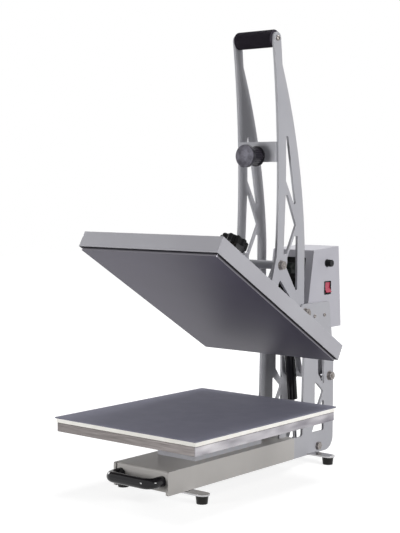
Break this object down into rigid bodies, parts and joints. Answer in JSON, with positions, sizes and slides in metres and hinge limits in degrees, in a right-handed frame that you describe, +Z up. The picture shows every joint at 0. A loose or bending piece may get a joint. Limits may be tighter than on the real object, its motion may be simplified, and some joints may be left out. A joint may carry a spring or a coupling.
{
  "type": "slide-out heat press",
  "caption": "Slide-out heat press shown open: platen on a swinging arm with gas spring and toggle links, tall truss handle, lower platen on a drawer, control box behind.",
  "frame": {"origin": "on the table, under the middle of the closed-drawer, open-press bounding box", "axes": "+X to the operator's right, +Y away from the operator, +Z up"},
  "size_m": [0.4, 0.7371, 1.0265],
  "materials": {
    "grey_steel": "light grey powder coat",
    "bright_steel": "turned and ground",
    "black_rubber": "moulded",
    "zinc_steel": "zinc plated",
    "box_paint": "light grey powder coat",
    "black_plastic": "moulded",
    "display_black": "smooth film",
    "board_green": "solder mask",
    "grip_foam": "cellular foam",
    "cover_paint": "light grey powder coat",
    "heat_coating": "non-stick coating",
    "insulation": "fibre blanket",
    "black_enamel": "gloss enamel",
    "drawer_steel": "warm grey powder coat",
    "gloss_black": "gloss",
    "cast_aluminium": "milled",
    "white_silicone": "closed-cell sponge",
    "slate_pad": "matt silicone sheet",
    "red_plastic": "moulded",
    "button_grey": "moulded"
  },
  "bodies": {
    "frame": {"frame_plate_left": "grey_steel", "frame_plate_right": "grey_steel", "foot_plates": "bright_steel", "rubber_feet": "black_rubber", "pivot_shafts": "bright_steel", "frame_fasteners": "zinc_steel", "pivot_spacers": "bright_steel", "spring_bolt": "zinc_steel", "outer_rails": "zinc_steel", "control_box": "box_paint", "box_rear_cover": "box_paint", "lead_grommet": "black_rubber", "mains_inlet": "black_plastic", "display_panel": "display_black", "control_board": "board_green", "switch_bezel": "black_plastic", "fuse_holder": "black_plastic"},
    "handle": {"handle_plate_left": "grey_steel", "handle_plate_right": "grey_steel", "handle_tubes": "grey_steel", "handle_fasteners": "zinc_steel", "foam_grip": "grip_foam", "cross_plate": "grey_steel", "armature_buffer": "black_plastic", "armature_disc": "bright_steel"},
    "arm": {"arm_plate_left": "grey_steel", "arm_plate_right": "grey_steel", "arm_crossbars": "grey_steel", "spindle_deck": "grey_steel", "arm_pins": "zinc_steel", "electromagnet": "bright_steel"},
    "platen": {"platen_cover": "cover_paint", "heat_plate": "heat_coating", "insulation_blanket": "insulation", "platen_studs": "zinc_steel", "platen_carrier": "grey_steel", "guide_rods": "bright_steel"},
    "knob": {"pressure_spindle": "zinc_steel", "pressure_knob": "black_plastic"},
    "links": {"toggle_links": "grey_steel"},
    "gas_body": {"spring_body": "black_enamel"},
    "gas_rod": {"spring_rod": "bright_steel"},
    "drawer": {"slide_brackets": "zinc_steel", "inner_rails": "zinc_steel", "drawer_side_left": "drawer_steel", "drawer_side_right": "drawer_steel", "drawer_cover": "drawer_steel", "pull_handle": "gloss_black", "standoffs": "grey_steel", "lower_platen": "cast_aluminium", "silicone_sponge": "white_silicone", "top_pad": "slate_pad"},
    "slide_middle": {"middle_rails": "zinc_steel"},
    "rocker": {"switch_rocker": "red_plastic"},
    "fuse": {"fuse_cap": "black_plastic"},
    "button_1": {"panel_button_1": "button_grey"},
    "button_2": {"panel_button_2": "button_grey"},
    "button_3": {"panel_button_3": "button_grey"},
    "button_4": {"panel_button_4": "button_grey"}
  },
  "joints": [
    {"name": "handle_turn", "type": "hinge", "parent": "frame", "child": "handle", "pos_m": [0, 0.2035, 0.3655], "axis": [1, 0, 0], "range_deg": [0, 80]},
    {"name": "arm_turn", "type": "hinge", "parent": "frame", "child": "arm", "pos_m": [0, 0.3105, 0.2015], "axis": [1, 0, 0], "range_deg": [0, 30.71], "stiffness_Nm_per_rad": 60, "springref_deg": -100.27},
    {"name": "link_turn", "type": "hinge", "parent": "handle", "child": "links", "pos_m": [0, 0.1115, 0.4835], "axis": [1, 0, 0], "range_deg": [-109.9, 0]},
    {"name": "gas_turn", "type": "hinge", "parent": "arm", "child": "gas_body", "pos_m": [0, 0.2325, 0.28], "axis": [1, 0, 0], "range_deg": [-20.82, 0]},
    {"name": "rod_slide", "type": "slide", "parent": "gas_body", "child": "gas_rod", "axis": [0, -0.1173, 0.9931], "range_m": [0, 0.04413]},
    {"name": "platen_slide", "type": "slide", "parent": "arm", "child": "platen", "axis": [0, -0.5105, -0.8599], "range_m": [0, 0.008]},
    {"name": "knob_turn", "type": "hinge", "parent": "platen", "child": "knob", "pos_m": [0, 0.0072, 0.5378], "axis": [0, -0.5105, -0.8599], "range_deg": [0, 1440.5]},
    {"name": "drawer_slide", "type": "slide", "parent": "frame", "child": "drawer", "axis": [0, -1, 0], "range_m": [0, 0.3]},
    {"name": "middle_slide", "type": "slide", "parent": "frame", "child": "slide_middle", "axis": [0, -1, 0], "range_m": [0, 0.15]},
    {"name": "rocker_turn", "type": "hinge", "parent": "frame", "child": "rocker", "pos_m": [0.0575, 0.3065, 0.419], "axis": [0, 1, 0], "range_deg": [0, 24]},
    {"name": "fuse_turn", "type": "hinge", "parent": "frame", "child": "fuse", "pos_m": [0.0665, 0.3035, 0.48], "axis": [1, 0, 0], "range_deg": [0, 90]},
    {"name": "button_1_press", "type": "slide", "parent": "frame", "child": "button_1", "axis": [0, 0.984, -0.178], "range_m": [0, 0.0015], "stiffness_N_per_m": 400},
    {"name": "button_2_press", "type": "slide", "parent": "frame", "child": "button_2", "axis": [0, 0.984, -0.178], "range_m": [0, 0.0015], "stiffness_N_per_m": 400},
    {"name": "button_3_press", "type": "slide", "parent": "frame", "child": "button_3", "axis": [0, 0.984, -0.178], "range_m": [0, 0.0015], "stiffness_N_per_m": 400},
    {"name": "button_4_press", "type": "slide", "parent": "frame", "child": "button_4", "axis": [0, 0.984, -0.178], "range_m": [0, 0.0015], "stiffness_N_per_m": 400}
  ],
  "couplings": [
    {"joint": "arm_turn", "follows": "handle_turn", "ratio": 0.38375},
    {"joint": "link_turn", "follows": "handle_turn", "ratio": -1.3736},
    {"joint": "gas_turn", "follows": "handle_turn", "ratio": -0.26009},
    {"joint": "rod_slide", "follows": "handle_turn", "m_per_rad": 0.031536},
    {"joint": "knob_turn", "follows": "platen_slide", "rad_per_m": 3141.6},
    {"joint": "middle_slide", "follows": "drawer_slide", "ratio": 0.5}
  ]
}
